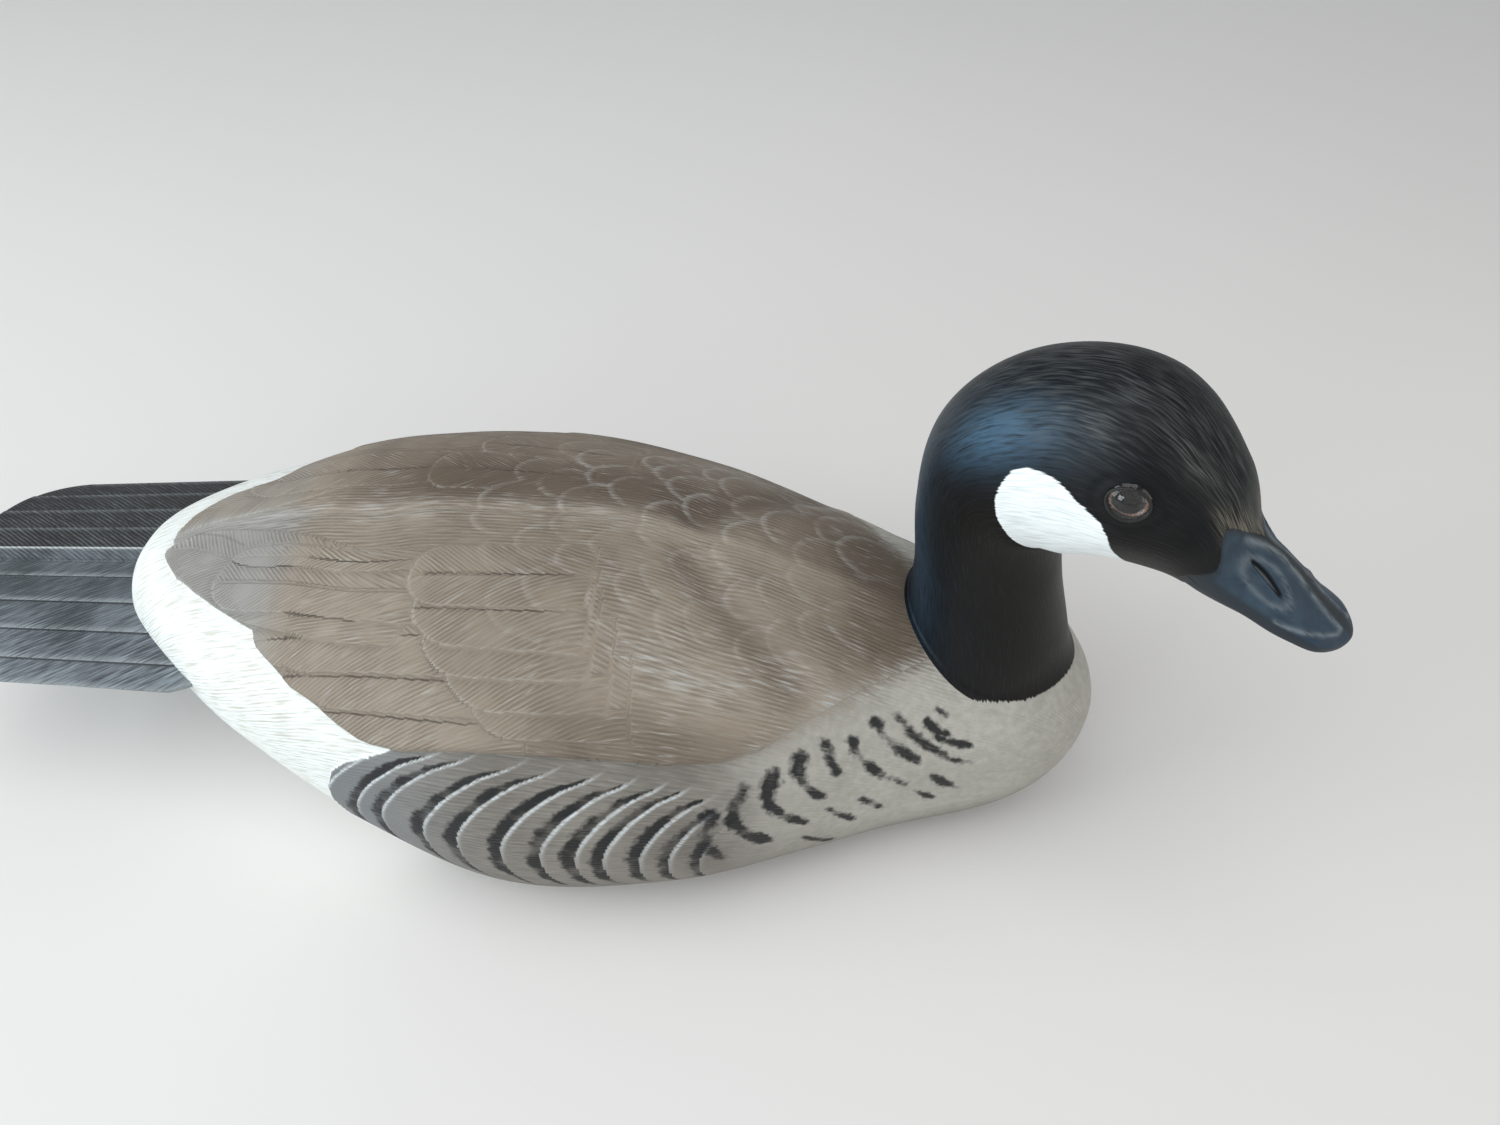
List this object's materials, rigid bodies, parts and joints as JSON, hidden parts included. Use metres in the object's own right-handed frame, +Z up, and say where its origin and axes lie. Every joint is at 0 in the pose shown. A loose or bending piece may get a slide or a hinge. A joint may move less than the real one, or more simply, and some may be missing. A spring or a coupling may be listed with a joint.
{
  "type": "goose decoy",
  "caption": "Carved and painted wooden goose decoy with glass eyes, resting on a flat underside with folded wings, a level tail and its head turned to one side.",
  "frame": {"origin": "on the flat underside, below the middle of the back", "axes": "+X forward to the breast, +Y to the bird's left, +Z up"},
  "size_m": [0.4084, 0.1528, 0.1744],
  "materials": {
    "body_paint": "matte oil paint on burned and carved wood, grey-brown breast and flanks with black bars and an off-white rump",
    "wing_paint": "matte oil paint on burned feather barbs, warm grey-brown with pale feather edges",
    "tail_paint": "matte charcoal-black paint, dry-brushed pale along the feather edges",
    "head_paint": "satin blue-black paint with brushed strokes and an off-white cheek patch",
    "bill_paint": "smooth satin slate paint, dry-brushed pale on the ridges",
    "eye_glass": "polished brown glass eye with a dark pupil"
  },
  "bodies": {
    "root": {"trunk": "body_paint", "wing_left": "wing_paint", "wing_right": "wing_paint", "tail": "tail_paint", "neck": "head_paint", "head": "head_paint", "bill_upper": "bill_paint", "bill_lower": "bill_paint", "eye_left": "eye_glass", "eye_right": "eye_glass"}
  },
  "joints": []
}
